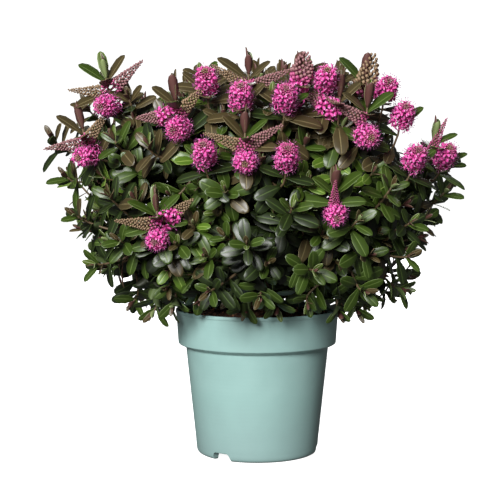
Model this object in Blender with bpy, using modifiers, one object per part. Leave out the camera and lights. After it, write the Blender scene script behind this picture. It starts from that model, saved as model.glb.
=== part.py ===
"""Hebe shrub in a nursery pot: pot, compost, a short woody stem, boughs, and masses of leafy, flowering shoots.

The origin is at the middle of the pot's flat underside, with +Z up. The photograph's view looks along +Y.
Every length is in metres.
"""

import math

import bmesh
import bpy
import numpy as np
from mathutils import Matrix, Vector
from mathutils.bvhtree import BVHTree

UP = Vector((0, 0, 1))
GAP = 0.0003
SEED = 17

# Pot: a moulded 17 cm container with a stepped collar
POT_HEIGHT = 0.151
RIM_RADIUS = 0.0853
COLLAR_FOOT_RADIUS = 0.0826
COLLAR_FOOT_HEIGHT = 0.1185
BODY_TOP_RADIUS = 0.0745
BODY_TOP_HEIGHT = 0.1115
FOOT_RADIUS = 0.0625
FOOT_ROUNDING = 0.005
WALL = 0.0018
FLOOR = 0.0022
POT_STEPS = 40
NOTCHES = 3
NOTCH_TURN = math.radians(-36)
NOTCH_WIDTH = 0.020
NOTCH_HEIGHT = 0.009
NOTCH_DEPTH = 0.014
NOTCH_OVERHANG = 0.004

# Compost, level with the rim's lower edge and a little heaped
SOIL_EDGE_HEIGHT = 0.144
SOIL_TOP = 0.149
SOIL_FLAT_RADIUS = 0.022
SOIL_STEPS = POT_STEPS // 2

# Stem: short and woody, flared where it leaves the compost
STEM_HEIGHT = 0.046
STEM_LEAN = 0.003
STEM_FLARE_RADIUS = 0.0125
STEM_RADIUS = 0.0085
STEM_TIP_RADIUS = 0.0055

# Crown: the rounded shape that the shoots' last leaves reach
CROWN_RADIUS = 0.208
CROWN_MIDDLE = 0.262
CROWN_RISE = 0.161
CROWN_DROP = 0.114
CROWN_SQUARENESS = 2.8
POT_CLEARANCE = 0.024

# The shoots that the photograph shows best: (side, height) of each one's last leaves, in millimetres
LEADING_SHOOTS_MM = (
    (-159, 417), (-196, 374), (-85, 380), (-54, 408), (-11, 424), (-7, 349), (44, 422), (70, 406),
    (113, 415), (139, 389), (51, 360), (184, 351), (109, 363), (-85, 294), (-48, 318), (67, 322),
    (-216, 338), (-210, 300), (-206, 262), (-184, 216), (-180, 188), (-146, 160),
    (209, 322), (210, 284), (190, 242), (180, 206), (163, 178), (132, 154),
)
SHOOT_SPACING = 0.046
SPIRAL_POINTS = 124
TIP_JITTER = 0.008
FLOWER_LINE = 0.290

# Masses of foliage in rings: (count, radius, height, first angle in degrees, where the boughs leave the stem,
# as a share of its height); every second bough of a ring leaves it a step higher
MASS_RINGS = ((1, 0.0, 0.345, 0, 1.0), (6, 0.115, 0.332, 20, 0.60), (8, 0.142, 0.225, 0, 0.16))
BOUGH_STEP = 0.22
BOUGH_SHARE = 0.56
BOUGH_RADIUS = 0.0030
BOUGH_TIP_RADIUS = 0.0024
BOUGH_POINTS = 6
CORE_SHARE = 0.46

TWIG_RADIUS = 0.0023
TWIG_TIP_RADIUS = 0.0015
TWIG_POINTS = 4
FIRST_BRANCH = 0.10
LAST_BRANCH = 0.50

LEAF_LENGTH = 0.052
LAST_LEAVES = 0.026
FIRST_PAIR = 0.013
FLOWER_SPAN = 0.021
LEAF_SPACING = 0.017
LEAF_PAIRS = 4

RACEME_LENGTH = 0.050
RACEME_SIDES = 5
RACEME_PROFILE = ((0.32, 0.0110), (0.58, 0.0100))
RACEMES_BELOW_TIP = 0.018


def material(name, colour, roughness, metallic=0.0):
    """A Principled surface of one colour."""
    made = bpy.data.materials.new(name)
    made.use_nodes = True
    shader = made.node_tree.nodes["Principled BSDF"]
    shader.inputs["Base Color"].default_value = (*colour, 1)
    shader.inputs["Roughness"].default_value = roughness
    shader.inputs["Metallic"].default_value = metallic
    return made


def collection(name):
    made = bpy.data.collections.new(name)
    bpy.context.scene.collection.children.link(made)
    return made


def add_object(name, data, home, surface=None):
    made = bpy.data.objects.new(name, data)
    home.objects.link(made)
    if surface:
        data.materials.append(surface)
    return made


def as_helper(thing):
    thing.hide_render = True
    thing.display_type = "WIRE"
    return thing


def applied_mesh(thing):
    """The object's mesh with its modifiers applied."""
    bpy.context.view_layer.update()
    graph = bpy.context.evaluated_depsgraph_get()
    return bpy.data.meshes.new_from_object(thing.evaluated_get(graph))


def evaluated_mesh(thing):
    """The object's mesh with its modifiers applied and its caps welded."""
    mesh = applied_mesh(thing)
    shape = bmesh.new()
    shape.from_mesh(mesh)
    bmesh.ops.remove_doubles(shape, verts=shape.verts, dist=1e-6)
    shape.to_mesh(mesh)
    shape.free()
    return mesh


# Pot and compost


def arc(middle, radius, start_deg, end_deg, steps):
    """Points (r, z) along an arc round middle."""
    points = []
    for step in range(steps + 1):
        turn = math.radians(start_deg + (end_deg - start_deg) * step / steps)
        points.append((middle[0] + radius * math.cos(turn), middle[1] + radius * math.sin(turn)))
    return points


def turned(name, profile, steps, home, surface=None):
    """A profile of (r, z) points, inner side up and outer side down, turned round the axis."""
    mesh = bpy.data.meshes.new(name)
    edges = [(i, i + 1) for i in range(len(profile) - 1)]
    mesh.from_pydata([(r, 0, z) for r, z in profile], edges, [])
    made = add_object(name, mesh, home, surface)
    screw = made.modifiers.new("turn", "SCREW")
    screw.steps = screw.render_steps = steps
    screw.use_merge_vertices = True
    screw.merge_threshold = 0.00002
    return made


def cut(target, cutter, label):
    modifier = target.modifiers.new(label, "BOOLEAN")
    modifier.operation = "DIFFERENCE"
    modifier.object = cutter


def block(name, size, place, turn, home):
    """A box of the given size, lying at place and turned about the vertical."""
    mesh = bpy.data.meshes.new(name)
    shape = bmesh.new()
    bmesh.ops.create_cube(shape, size=1, matrix=Matrix.Diagonal((*size, 1)))
    shape.to_mesh(mesh)
    shape.free()
    made = add_object(name, mesh, home)
    made.location = place
    made.rotation_euler = (0, 0, turn)
    return as_helper(made)


def cavity_profile(inset):
    """The inside of the pot from its floor to its rim, drawn in by inset."""
    inner = WALL + inset
    slope = (BODY_TOP_RADIUS - FOOT_RADIUS) / BODY_TOP_HEIGHT
    floor = FLOOR + inset
    foot = FOOT_RADIUS - inner + slope * floor
    return [
        (foot - FOOT_ROUNDING, floor),
        (foot, floor + FOOT_ROUNDING),
        (BODY_TOP_RADIUS - inner, BODY_TOP_HEIGHT + WALL),
        (COLLAR_FOOT_RADIUS - inner, COLLAR_FOOT_HEIGHT + WALL),
    ]


def notch_place(depth, height):
    """Turn and middle of each drain notch's block, which reaches in from beyond the foot."""
    for number in range(NOTCHES):
        turn = NOTCH_TURN + 2 * math.pi * number / NOTCHES - math.pi / 2
        reach = FOOT_RADIUS + NOTCH_OVERHANG - depth / 2
        yield number, turn, Vector((reach * math.cos(turn), reach * math.sin(turn), height / 2 - 0.001))


def make_pot(home, cutters, surface):
    lip = WALL / 2
    outer = [
        (0, POT_HEIGHT),
        (RIM_RADIUS - lip, POT_HEIGHT),
        *arc((RIM_RADIUS - lip, POT_HEIGHT - lip), lip, 60, 0, 2),
        *arc((COLLAR_FOOT_RADIUS - 0.0025, COLLAR_FOOT_HEIGHT), 0.0025, 0, -70, 3),
        (BODY_TOP_RADIUS, BODY_TOP_HEIGHT),
        (FOOT_RADIUS + FOOT_ROUNDING * 0.11, FOOT_ROUNDING),
        *arc((FOOT_RADIUS - FOOT_ROUNDING, FOOT_ROUNDING), FOOT_ROUNDING, -25, -90, 3),
        (0, 0),
    ]
    pot = turned("pot", outer, POT_STEPS, home, surface)
    inside = [(0, FLOOR), *cavity_profile(0), (RIM_RADIUS - WALL, POT_HEIGHT + 0.002), (0, POT_HEIGHT + 0.002)]
    cavity = as_helper(turned("cavity", inside[::-1], POT_STEPS, cutters))
    depth = NOTCH_DEPTH + WALL
    for number, turn, place in notch_place(depth, NOTCH_HEIGHT + WALL + 0.001):
        size = (depth, NOTCH_WIDTH + 2 * WALL, NOTCH_HEIGHT + WALL + 0.001)
        cut(cavity, block(f"notch_wall_{number}", size, place, turn, cutters), f"wall_{number}")
    cut(pot, cavity, "hollow")
    for number, turn, place in notch_place(NOTCH_DEPTH, NOTCH_HEIGHT + 0.001):
        size = (NOTCH_DEPTH, NOTCH_WIDTH, NOTCH_HEIGHT + 0.001)
        cut(pot, block(f"notch_{number}", size, place, turn, cutters), f"notch_{number}")
    return pot


def make_compost(home, surface):
    """The root ball: it fills the pot 0.4 mm clear, with its lower edge stepped in over the notches."""
    _, foot, body, collar = cavity_profile(GAP + 0.0001)
    clear = NOTCH_HEIGHT + WALL + 2 * GAP
    step = FOOT_RADIUS + NOTCH_OVERHANG - NOTCH_DEPTH - WALL - 2 * GAP
    profile = [
        (0, SOIL_TOP),
        (SOIL_FLAT_RADIUS, SOIL_TOP),
        (0.055, SOIL_TOP - 0.0015),
        (RIM_RADIUS - 0.005, SOIL_EDGE_HEIGHT),
        (collar[0], collar[1]),
        (body[0], body[1]),
        (foot[0] + 0.0006, clear),
        (step, clear),
        (step, FLOOR + GAP),
        (0, FLOOR + GAP),
    ]
    return turned("compost", profile, SOIL_STEPS, home, surface)


# Limbs


def bezier(start, start_pull, end_pull, end, count):
    """Points on a cubic curve that leaves start along start_pull and reaches end along end_pull."""
    first = start + start_pull
    second = end - end_pull
    points = []
    for step in range(count):
        t = step / (count - 1)
        s = 1 - t
        points.append(s**3 * start + 3 * s * s * t * first + 3 * s * t * t * second + t**3 * end)
    return points


def tapered_tube(name, points, radii, home, surface=None, resolution=1, profile=None):
    """A curve through the points with a round bevel, or the profile's section, of the given radii."""
    curve = bpy.data.curves.new(name, "CURVE")
    curve.dimensions = "3D"
    curve.twist_mode = "MINIMUM"
    curve.use_fill_caps = True
    if profile:
        curve.bevel_mode = "OBJECT"
        curve.bevel_object = profile
    else:
        curve.bevel_depth = 1.0
        curve.bevel_resolution = resolution
    spline = curve.splines.new("POLY")
    spline.points.add(len(points) - 1)
    for point, place, radius in zip(spline.points, points, radii):
        point.co = (*place, 1)
        point.radius = radius
    return add_object(name, curve, home, surface)


def triangle_section(home):
    """The three-sided section of every twig, one unit in radius."""
    curve = bpy.data.curves.new("twig_section", "CURVE")
    curve.dimensions = "2D"
    curve.fill_mode = "NONE"
    spline = curve.splines.new("POLY")
    spline.points.add(2)
    for index, point in enumerate(spline.points):
        turn = -2 * math.pi * index / 3
        point.co = (math.cos(turn), math.sin(turn), 0, 1)
    spline.use_cyclic_u = True
    return as_helper(add_object("twig_section", curve, home))


def stem_axis(height):
    """The middle of the stem at a height above the compost."""
    share = height / STEM_HEIGHT
    return Vector((STEM_LEAN * math.sin(2.2 * share), STEM_LEAN * share, SOIL_TOP + GAP + height))


def stem_radius(height):
    """The root flare dies away over the first 10 mm, and the rest tapers evenly to the tip."""
    share = height / STEM_HEIGHT
    flare = (STEM_FLARE_RADIUS - STEM_RADIUS) * math.exp(-height / 0.006)
    return STEM_RADIUS + (STEM_TIP_RADIUS - STEM_RADIUS) * share + flare


def make_stem(home, surface):
    heights = [STEM_HEIGHT * share for share in (0, 0.1, 0.25, 0.5, 0.75, 1)]
    points = [stem_axis(height) for height in heights]
    points[1].x, points[1].y = points[0].x, points[0].y
    return tapered_tube("stem", points, [stem_radius(h) for h in heights], home, surface, 2)


# The crown's rule: where the shoots end, and which mass each belongs to


def crown_half_width(height):
    """Half the crown's width at a height, by |r/R|^n + |z/H|^n = 1."""
    rise = CROWN_RISE if height > CROWN_MIDDLE else CROWN_DROP
    left = 1 - abs((height - CROWN_MIDDLE) / rise) ** CROWN_SQUARENESS
    return CROWN_RADIUS * max(left, 0) ** (1 / CROWN_SQUARENESS)


def crown_point(direction):
    """Where a ray from the crown's middle leaves the crown."""
    rise = CROWN_RISE if direction.z > 0 else CROWN_DROP
    flat = math.hypot(direction.x, direction.y) / CROWN_RADIUS
    total = flat**CROWN_SQUARENESS + abs(direction.z / rise) ** CROWN_SQUARENESS
    return Vector((0, 0, CROWN_MIDDLE)) + direction * total ** (-1 / CROWN_SQUARENESS)


def leading_tips():
    """The photographed shoots, set on the near side of the crown, or on its outline."""
    tips = []
    for side_mm, height_mm in LEADING_SHOOTS_MM:
        side, height = side_mm / 1000, height_mm / 1000
        reach = crown_half_width(height)
        tips.append(Vector((side, -math.sqrt(max(reach * reach - side * side, 0)), height)))
    return tips


def spiral_tips(taken, jitter):
    """Shoots spread evenly over the rest of the crown by a golden-angle spiral, shaken a little."""
    tips = []
    for number in range(SPIRAL_POINTS):
        z = 1 - 2 * (number + 0.5) / SPIRAL_POINTS
        turn = number * math.pi * (3 - math.sqrt(5))
        flat = math.sqrt(1 - z * z)
        tip = crown_point(Vector((flat * math.cos(turn), flat * math.sin(turn), z)))
        tip += Vector(jitter[number]) * TIP_JITTER
        radius = math.hypot(tip.x, tip.y)
        if tip.z < POT_HEIGHT + 0.006 and radius < RIM_RADIUS + POT_CLEARANCE:
            continue
        if radius < CROWN_RADIUS * 0.5 and tip.z < CROWN_MIDDLE:
            continue
        if min((tip - other).length for other in taken) > SHOOT_SPACING:
            tips.append(tip)
    return tips


def shoot_heading(tip):
    """Shoots turn up towards the light: steeply at the top, and outwards lower down."""
    outward = Vector((tip.x, tip.y, 0.4 * (tip.z - CROWN_MIDDLE)))
    outward = outward.normalized() if outward.length > 0.01 else UP.copy()
    share = min(max((tip.z - 0.17) / 0.2, 0), 1)
    return (outward * (1.0 - 0.62 * share) + UP * (0.18 + 0.82 * share)).normalized()


def mass_centres():
    """The middle of each mass, and the height on the stem that its bough leaves from."""
    centres = []
    for count, radius, height, first, fork in MASS_RINGS:
        for number in range(count):
            turn = math.radians(first) + 2 * math.pi * number / count
            centre = Vector((radius * math.cos(turn), radius * math.sin(turn), height))
            centres.append((centre, STEM_HEIGHT * (fork + BOUGH_STEP * (number % 2))))
    return centres


def bough_path(centre, fork):
    """From beside the stem, out and up to the mass: (points, radii). The top one goes on from the stem's tip."""
    if fork >= STEM_HEIGHT:
        start = stem_axis(STEM_HEIGHT) + UP * 3 * GAP
        away = UP
        reach = STEM_TIP_RADIUS * 0.8
    else:
        away = Vector((centre.x, centre.y, 0)).normalized()
        start = stem_axis(fork) + away * (stem_radius(fork) + 2 * GAP + 0.0012)
        away = (away + UP * 0.35).normalized()
        reach = BOUGH_RADIUS
    end = start.lerp(centre, BOUGH_SHARE)
    length = (end - start).length
    arrive = ((centre - start).normalized() + UP * 0.35).normalized()
    points = bezier(start, away * length * 0.38, arrive * length * 0.3, end, BOUGH_POINTS)
    radii = [reach + (BOUGH_TIP_RADIUS - reach) * i / (BOUGH_POINTS - 1) for i in range(BOUGH_POINTS)]
    return points, radii


# Leaves and flower spikes


def leaf_mesh(grow=0.0):
    """A blade one unit long: six points round its edge, flat above and keeled below, in eight faces."""
    points = [
        (-grow, 0, -0.004 - grow),
        (0.36, -0.150 - grow, 0.010 + grow),
        (0.76, -0.170 - grow, -0.004 + grow),
        (1.0 + grow, 0, -0.050),
        (0.76, 0.170 + grow, -0.004 + grow),
        (0.36, 0.150 + grow, 0.010 + grow),
    ]
    upper = [(0, 1, 5), (1, 2, 4), (1, 4, 5), (2, 3, 4)]
    keel = [(3, 2, 1), (3, 1, 0), (3, 0, 5), (3, 5, 4)]
    mesh = bpy.data.meshes.new("leaf")
    mesh.from_pydata(points, [], upper + keel)
    return mesh


def raceme_mesh(home, grow=0.0):
    """A flower spike along +X, turned: a pointed foot, a full lower half and a tapering bud."""
    belly = [(radius + grow, RACEME_LENGTH * share) for share, radius in RACEME_PROFILE]
    spike = turned("raceme", [(0, RACEME_LENGTH + grow), *belly[::-1], (0, -grow)], RACEME_SIDES, home)
    mesh = evaluated_mesh(spike)
    mesh.transform(Matrix.Rotation(math.pi / 2, 4, "Y"))
    bpy.data.objects.remove(spike)
    return mesh


class Room:
    """What stands in the crown so far, so that a new leaf, twig or spike keeps clear of it."""

    def __init__(self):
        self.trees = []
        self.owners = []
        self.middles = np.empty((0, 3))
        self.reaches = np.empty(0)

    @staticmethod
    def measured(mesh, matrix):
        """The mesh's tree, and the middle and reach of the ball that holds it."""
        points = [matrix @ vert.co for vert in mesh.vertices]
        cloud = np.array(points)
        middle = (cloud.max(0) + cloud.min(0)) / 2
        tree = BVHTree.FromPolygons(points, [tuple(face.vertices) for face in mesh.polygons])
        return tree, middle, np.linalg.norm(cloud - middle, axis=1).max()

    def free(self, mesh, matrix, partners):
        """True if the mesh at that place crosses nothing but its partners."""
        tree, middle, reach = self.measured(mesh, matrix)
        near = np.linalg.norm(self.middles - middle, axis=1) < self.reaches + reach
        rivals = [i for i in np.flatnonzero(near) if self.owners[i] not in partners]
        return not any(tree.overlap(self.trees[i]) for i in rivals)

    def take(self, mesh, matrix, owner):
        tree, middle, reach = self.measured(mesh, matrix)
        self.trees.append(tree)
        self.owners.append(owner)
        self.middles = np.vstack((self.middles, middle))
        self.reaches = np.append(self.reaches, reach)


class Shoot:
    """One twig, from its mass's leader to the tips of its last leaves."""

    def __init__(self, tip, leading, turn):
        self.heading = shoot_heading(tip)
        self.end = tip - self.heading * LAST_LEAVES
        self.flowering = tip.z > FLOWER_LINE
        self.spikes = 3 if leading else 2
        self.turn = turn
        self.points = []
        self.owner = None

    def along(self, distance):
        """The place at a distance back from the twig's end, and its direction there, or None beyond its root."""
        for after, before in zip(self.points[::-1], self.points[-2::-1]):
            step = (after - before).length
            if distance <= step:
                return after.lerp(before, distance / step), (after - before).normalized()
            distance -= step
        return None

    def placed(self, distance, quarter, lean_deg, scale=1.0):
        """The matrix of a piece that leans out from the twig, a number of quarter turns round from its outer side."""
        found = self.along(distance)
        if found is None:
            return None
        place, direction = found
        outward = Vector((self.end.x, self.end.y, 0))
        side = direction.cross(outward if outward.length > 0.02 else Vector((0, -1, 0))).normalized()
        front = side.cross(direction)
        angle = self.turn + quarter * math.pi / 2
        out = front * math.cos(angle) + side * math.sin(angle)
        lean = math.radians(lean_deg)
        x = direction * math.cos(lean) + out * math.sin(lean)
        y = direction.cross(out)
        turn = Matrix((x, -y, x.cross(-y))).transposed().to_4x4()
        return Matrix.Translation(place) @ turn @ Matrix.Scale(scale, 4)


class Mass:
    """One mass of foliage: a bough's tip, the shoots that branch from it, and the pieces fused to them."""

    def __init__(self, number, centre, hub, onward):
        self.number = number
        self.centre = centre
        self.start = hub + onward * 2 * GAP
        self.onward = onward
        self.shoots = []
        self.pieces = collection(f"pieces_{number:02d}")
        self.leader = None

    def lay_out(self):
        """The shoot that best carries on the bough leads, and the others branch from it in turn."""
        self.shoots.sort(key=lambda shoot: -(shoot.end - self.start).normalized().dot(self.onward))
        leader = self.shoots[0]
        length = (leader.end - self.start).length
        leader.points = bezier(
            self.start, self.onward * length * 0.35, leader.heading * length * 0.3, leader.end, TWIG_POINTS + 1
        )
        for order, shoot in enumerate(self.shoots[1:], 1):
            share = FIRST_BRANCH + (LAST_BRANCH - FIRST_BRANCH) * order / len(self.shoots)
            root, direction = leader.along(length * (1 - share))
            span = (shoot.end - root).length
            pull = (direction + (shoot.end - root).normalized() * 1.5).normalized()
            shoot.points = bezier(root, pull * span * 0.3, shoot.heading * span * 0.3, shoot.end, TWIG_POINTS)
        for order, shoot in enumerate(self.shoots):
            shoot.owner = ("twig", self.number, order)


def plan_masses(home, bark, room):
    """A bough for each mass, and the core that its twigs run through."""
    masses = []
    for number, (centre, fork) in enumerate(mass_centres(), 1):
        points, radii = bough_path(centre, fork)
        bough = tapered_tube(f"bough_{number:02d}", points, radii, home, bark)
        room.take(evaluated_mesh(bough), Matrix.Identity(4), "bough")
        masses.append(Mass(number, centre, points[-1], (points[-1] - points[-2]).normalized()))
    return masses


def share_out(masses):
    """Each shoot goes to the mass whose middle is nearest."""
    rng = np.random.default_rng(SEED)
    leading = leading_tips()
    tips = leading + spiral_tips(leading, rng.uniform(-1, 1, (SPIRAL_POINTS, 3)))
    turns = rng.uniform(-0.25, 0.25, len(tips))
    for number, tip in enumerate(tips):
        mass = min(masses, key=lambda one: (tip - one.centre).length)
        mass.shoots.append(Shoot(tip, number < len(leading), turns[number]))


def add_cores(masses, room):
    """A faceted core just beyond each bough's tip stands for the crowded inner leaves of its mass."""
    for mass in masses:
        span = mass.centre - mass.start
        mesh = bpy.data.meshes.new("core")
        shape = bmesh.new()
        bmesh.ops.create_icosphere(shape, subdivisions=1, radius=span.length * CORE_SHARE)
        shape.to_mesh(mesh)
        shape.free()
        core = add_object("core", mesh, mass.pieces)
        core.matrix_world = Matrix.Translation(mass.start + span * (CORE_SHARE + 0.06))
        room.take(mesh, core.matrix_world, ("core", mass.number))


def twig_mesh(points, radii, helpers, section):
    """A tapering three-sided twig."""
    curve = tapered_tube("twig", points, radii, helpers, None, profile=section)
    mesh = evaluated_mesh(curve)
    bpy.data.objects.remove(curve)
    return mesh


def lay_twigs(masses, helpers, room):
    section = triangle_section(helpers)
    for mass in masses:
        mass.lay_out()
        kept = []
        for order, shoot in enumerate(mass.shoots):
            count = len(shoot.points)
            wide = TWIG_RADIUS if order else BOUGH_TIP_RADIUS
            radii = [wide + (TWIG_TIP_RADIUS - wide) * i / (count - 1) for i in range(count)]
            partners = {("core", mass.number)} | {other.owner for other in kept}
            test = twig_mesh(shoot.points, [radius + 2 * GAP for radius in radii], helpers, section)
            if order and not room.free(test, Matrix.Identity(4), partners):
                continue
            mesh = twig_mesh(shoot.points, radii, helpers, section)
            room.take(mesh, Matrix.Identity(4), shoot.owner)
            twig = add_object(f"twig_{mass.number:02d}", mesh, mass.pieces if order else helpers)
            mass.leader = mass.leader or twig
            kept.append(shoot)
        mass.shoots = kept


class Kind:
    """A leaf or a flower spike: its mesh, and a slightly grown copy that tests for room."""

    def __init__(self, name, mesh, grown):
        self.name = name
        self.mesh = mesh
        self.grown = grown
        self.count = 0

    def grow(self, mass, shoot, room, places):
        """Adds the piece at the first of the places where nothing is in its way."""
        partners = {shoot.owner, ("core", mass.number)}
        for matrix in places:
            if matrix is not None and room.free(self.grown, matrix, partners):
                room.take(self.mesh, matrix, (self.name, mass.number))
                piece = add_object(self.name, self.mesh, mass.pieces)
                piece.matrix_world = matrix
                self.count += 1
                return


def add_flowers(masses, raceme, room):
    """Three spikes below the end of a flowering shoot: one each side, and one facing out."""
    for mass in masses:
        for shoot in mass.shoots:
            if shoot.flowering:
                for quarter, lean in ((1, 50), (3, 50), (0, 70))[:shoot.spikes]:
                    places = [shoot.placed(RACEMES_BELOW_TIP + step, quarter, lean + 400 * step) for step in (0, 0.02)]
                    raceme.grow(mass, shoot, room, places)


def add_leaves(masses, leaf, room):
    """Opposite pairs, each square to the last: small and upright at the end of the twig, then wider open."""
    for pair in range(LEAF_PAIRS):
        for mass in masses:
            for shoot in mass.shoots:
                if pair == 0:
                    node, lean, size = 0.002, 15, LAST_LEAVES
                else:
                    first = FIRST_PAIR + (FLOWER_SPAN if shoot.flowering else 0)
                    node, lean, size = first + LEAF_SPACING * (pair - 1), 44 + 7 * pair, LEAF_LENGTH
                for side in (0, 2):
                    quarter = side + 0.5 + pair % 2
                    tries = [(0, 0), (0.2, 6), (-0.2, -6), (0.45, 12), (-0.45, 12)]
                    spot = node + 0.0003 * side
                    places = [shoot.placed(spot, quarter + turn, lean + more, size) for turn, more in tries]
                    leaf.grow(mass, shoot, room, places)


def fuse(mass, home, surface):
    """One Boolean union of the leader with every piece of its mass, keeping the body that holds the leader."""
    union = mass.leader.modifiers.new("fuse", "BOOLEAN")
    union.operation = "UNION"
    union.operand_type = "COLLECTION"
    union.collection = mass.pieces
    union.solver = "MANIFOLD"
    mesh = applied_mesh(mass.leader)
    keep_main_body(mesh)
    for piece in list(mass.pieces.objects):
        bpy.data.objects.remove(piece)
    bpy.data.objects.remove(mass.leader)
    bpy.data.collections.remove(mass.pieces)
    return add_object(f"foliage_{mass.number:02d}", mesh, home, surface)


def keep_main_body(mesh):
    """Drops loose scraps and the walls of sealed hollows, which fills them."""
    shape = bmesh.new()
    shape.from_mesh(mesh)
    left = set(shape.faces)
    bodies = []
    while left:
        body = {left.pop()}
        waiting = list(body)
        while waiting:
            for edge in waiting.pop().edges:
                fresh = left.intersection(edge.link_faces)
                left -= fresh
                body |= fresh
                waiting.extend(fresh)
        bodies.append(body)
    main_body = max(bodies, key=len)
    bmesh.ops.delete(shape, geom=[face for face in shape.faces if face not in main_body], context="FACES")
    shape.to_mesh(mesh)
    shape.free()


def main():
    for old in list(bpy.data.objects):
        bpy.data.objects.remove(old)
    home = collection("hebe_shrub")
    helpers = collection("cutters")
    plastic = material("moulded_polypropylene", (0.38, 0.60, 0.57), 0.45)
    peat = material("peat_compost", (0.045, 0.026, 0.017), 0.95)
    bark = material("brown_bark", (0.13, 0.075, 0.045), 0.85)
    leafy = material("hebe_leaf", (0.055, 0.13, 0.035), 0.42)

    room = Room()
    for thing in (make_pot(home, helpers, plastic), make_compost(home, peat), make_stem(home, bark)):
        room.take(evaluated_mesh(thing), Matrix.Identity(4), "base")
    masses = plan_masses(home, bark, room)
    share_out(masses)
    add_cores(masses, room)
    lay_twigs(masses, helpers, room)
    raceme = Kind("raceme", raceme_mesh(helpers), raceme_mesh(helpers, 2 * GAP))
    leaf = Kind("leaf", leaf_mesh(), leaf_mesh(2 * GAP / LEAF_LENGTH))
    add_flowers(masses, raceme, room)
    add_leaves(masses, leaf, room)
    for mass in masses:
        fuse(mass, home, leafy)
    print(sum(len(mass.shoots) for mass in masses), "shoots", raceme.count, "racemes", leaf.count, "leaves")


main()
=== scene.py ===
# %% [markdown]
# # A hebe in flower, in its nursery pot
#
# The plant is a low, rounded evergreen shrub. Its shoots all end near one rounded surface, the crown, and
# carry leaves in crossed pairs. Most of the upper shoots have flower spikes below their last leaves. The
# measured solids come first, as a frame that fixes every size. Each cell after that makes one kind of piece
# in its place: pot, compost, bark, twigs, flowers, leaves.

# %% Load the measured model
import math

import bpy
import numpy as np
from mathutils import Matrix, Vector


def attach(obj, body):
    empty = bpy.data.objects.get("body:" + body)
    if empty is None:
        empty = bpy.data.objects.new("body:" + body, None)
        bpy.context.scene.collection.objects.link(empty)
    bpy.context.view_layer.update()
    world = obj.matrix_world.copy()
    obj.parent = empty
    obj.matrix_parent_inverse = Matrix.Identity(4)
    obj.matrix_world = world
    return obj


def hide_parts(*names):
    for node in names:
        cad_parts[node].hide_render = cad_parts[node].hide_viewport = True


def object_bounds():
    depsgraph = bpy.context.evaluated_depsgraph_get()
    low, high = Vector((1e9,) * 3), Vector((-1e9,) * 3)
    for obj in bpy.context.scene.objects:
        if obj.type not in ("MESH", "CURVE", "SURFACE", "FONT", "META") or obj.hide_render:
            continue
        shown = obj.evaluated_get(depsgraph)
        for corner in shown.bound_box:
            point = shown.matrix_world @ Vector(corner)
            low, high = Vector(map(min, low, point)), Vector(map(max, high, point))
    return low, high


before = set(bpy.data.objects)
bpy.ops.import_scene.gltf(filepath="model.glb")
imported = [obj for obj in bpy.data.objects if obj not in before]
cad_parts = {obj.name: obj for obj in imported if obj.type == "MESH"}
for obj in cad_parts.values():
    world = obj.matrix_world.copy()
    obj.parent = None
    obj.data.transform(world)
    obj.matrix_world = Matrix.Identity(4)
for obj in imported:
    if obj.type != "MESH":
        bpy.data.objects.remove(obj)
measured_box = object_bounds()
lowest, highest = (np.array(corner) for corner in measured_box)
scene = bpy.context.scene
mm = 0.001
GOLDEN_ANGLE = math.pi * (3 - math.sqrt(5))
rng = np.random.default_rng(7)
foliage_nodes = sorted(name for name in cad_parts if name.startswith("foliage"))
limb_nodes = ["stem"] + sorted(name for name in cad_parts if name.startswith("bough"))
print("measured box", measured_box)

# %% [markdown]
# ## From arrays to meshes
#
# A shrub has thousands of leaves, so none is modelled by hand. Every piece here is a grid of points worked
# out with numpy as whole arrays. One function turns such arrays into a mesh in a single step, which is far
# quicker than adding faces one after another. A small body, such as a leaf, has the faces of one grid, and
# these are repeated for each copy of it.

# %% Mesh helpers


def closed_faces(rows, columns):
    """The faces of a grid whose last column meets its first, and the two fans that close its ends.

    Each fan joins the first or the last row to one point, and these two points come after the grid's own.
    """
    first = np.arange(columns)
    after = np.roll(first, -1)
    start = np.arange(rows - 1)[:, None] * columns
    walls = np.stack([start + first, start + after, start + columns + after, start + columns + first], -1)
    last, pole = (rows - 1) * columns, rows * columns
    foot = np.stack([0 * first + pole, after, first], -1)
    tip = np.stack([0 * first + pole + 1, last + first, last + after], -1)
    return [walls.reshape(-1, 4), foot, tip]


def repeated(faces, copies, points_each):
    """The same faces for many copies whose points follow one another."""
    return (faces[None] + (np.arange(copies) * points_each)[:, None, None]).reshape(-1, faces.shape[1])


def new_object(name, points, faces, surfaces, materials=0, smooth=True):
    """A mesh object from points, a list of face arrays, surfaces, and the surface number of each face."""
    mesh = bpy.data.meshes.new(name)
    mesh.from_pydata(points.reshape(-1, 3).tolist(), [], [face for part in faces for face in part.tolist()])
    mesh.polygons.foreach_set("use_smooth", np.full(len(mesh.polygons), smooth))
    mesh.polygons.foreach_set("material_index", np.full(len(mesh.polygons), materials, np.int32))
    for surface in surfaces:
        mesh.materials.append(surface)
    piece = bpy.data.objects.new(name, mesh)
    scene.collection.objects.link(piece)
    print(f"{name}: {sum(len(part) * (part.shape[1] - 2) for part in faces)} triangles")
    return piece


def make_piece(name, points, faces, surfaces, slot, nodes, **details):
    """A new object that rides on the body and stands for some nodes, which it hides. Its slot is not used."""
    piece = new_object(name, points, faces, surfaces, **details)
    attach(piece, "root")
    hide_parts(*nodes)


def many_of(name, bodies, faces, surfaces, materials=0, slot="foliage", nodes=foliage_nodes):
    """A piece of many like bodies (n, points, 3), from the face arrays of one and their surface numbers."""
    copies, points_each = bodies.shape[:2]
    numbers = np.repeat(np.full(len(faces), materials), [copies * len(part) for part in faces])
    make_piece(name, bodies, [repeated(part, copies, points_each) for part in faces], surfaces, slot, nodes,
               materials=numbers)


def norm(vectors):
    """The length of each vector along the last axis."""
    return np.linalg.norm(vectors, axis=-1)


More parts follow.
